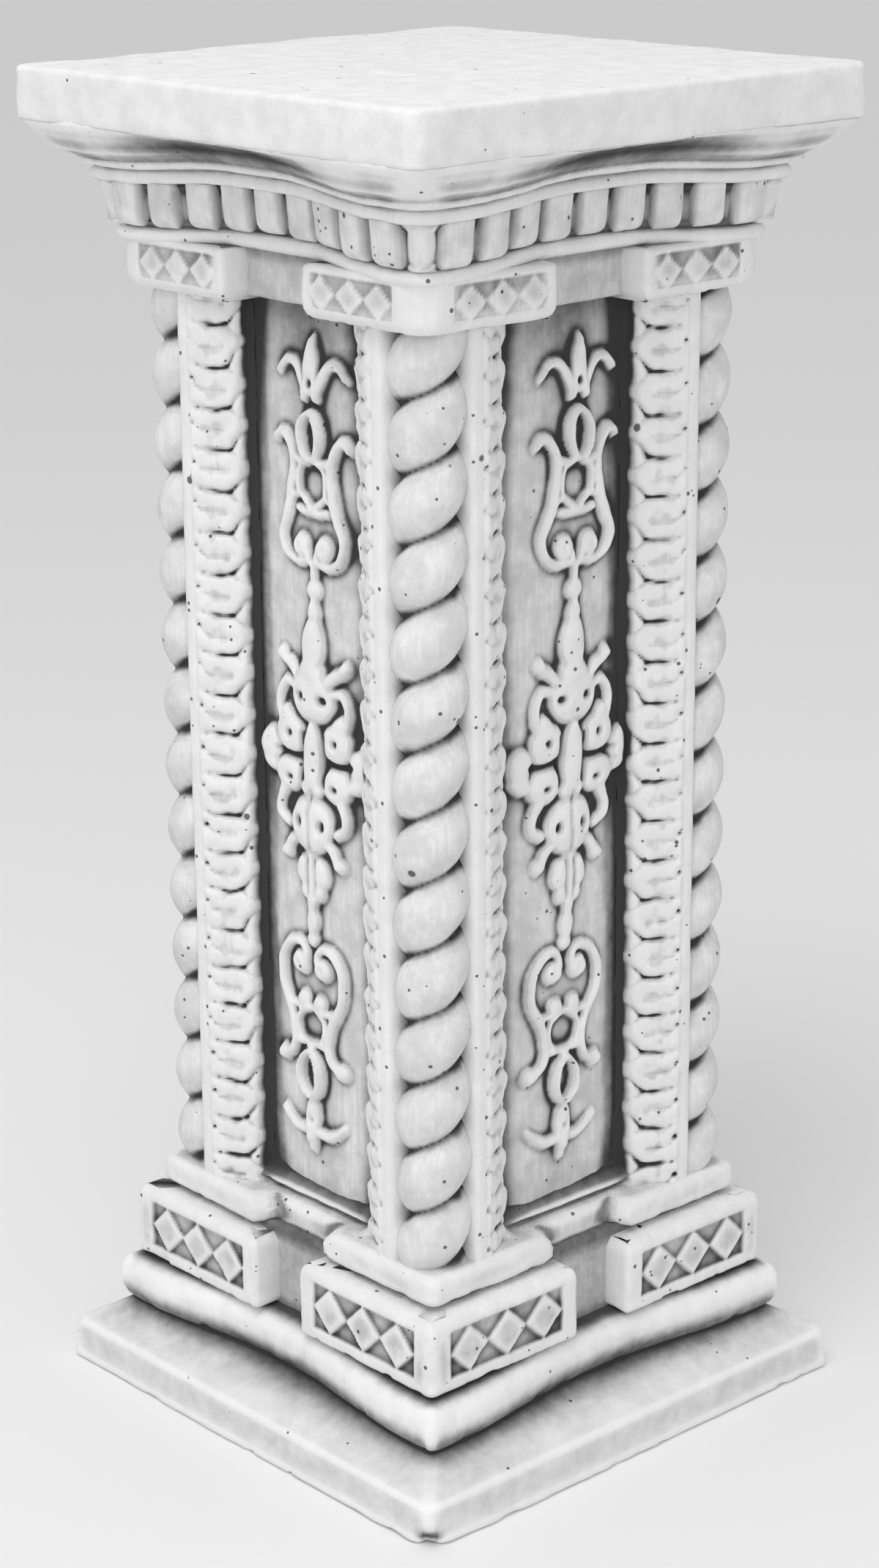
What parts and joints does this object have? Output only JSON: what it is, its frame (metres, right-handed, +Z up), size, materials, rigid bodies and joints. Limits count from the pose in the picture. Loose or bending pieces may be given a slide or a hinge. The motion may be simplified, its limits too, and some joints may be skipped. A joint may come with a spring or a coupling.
{
  "type": "decorative column",
  "caption": "Cast stone garden column with rope-twist corners, leaf bands and candelabra relief between a stepped base and a moulded cap with a flat top.",
  "frame": {"origin": "centre of the underside of the base", "axes": "+Z up along the shaft; -Y and +X are the two faces seen in the picture"},
  "size_m": [0.341, 0.341, 0.8],
  "materials": {
    "cast_stone": "weathered matt cast stone, darker in the recesses"
  },
  "bodies": {
    "root": {"column": "cast_stone"}
  },
  "joints": []
}
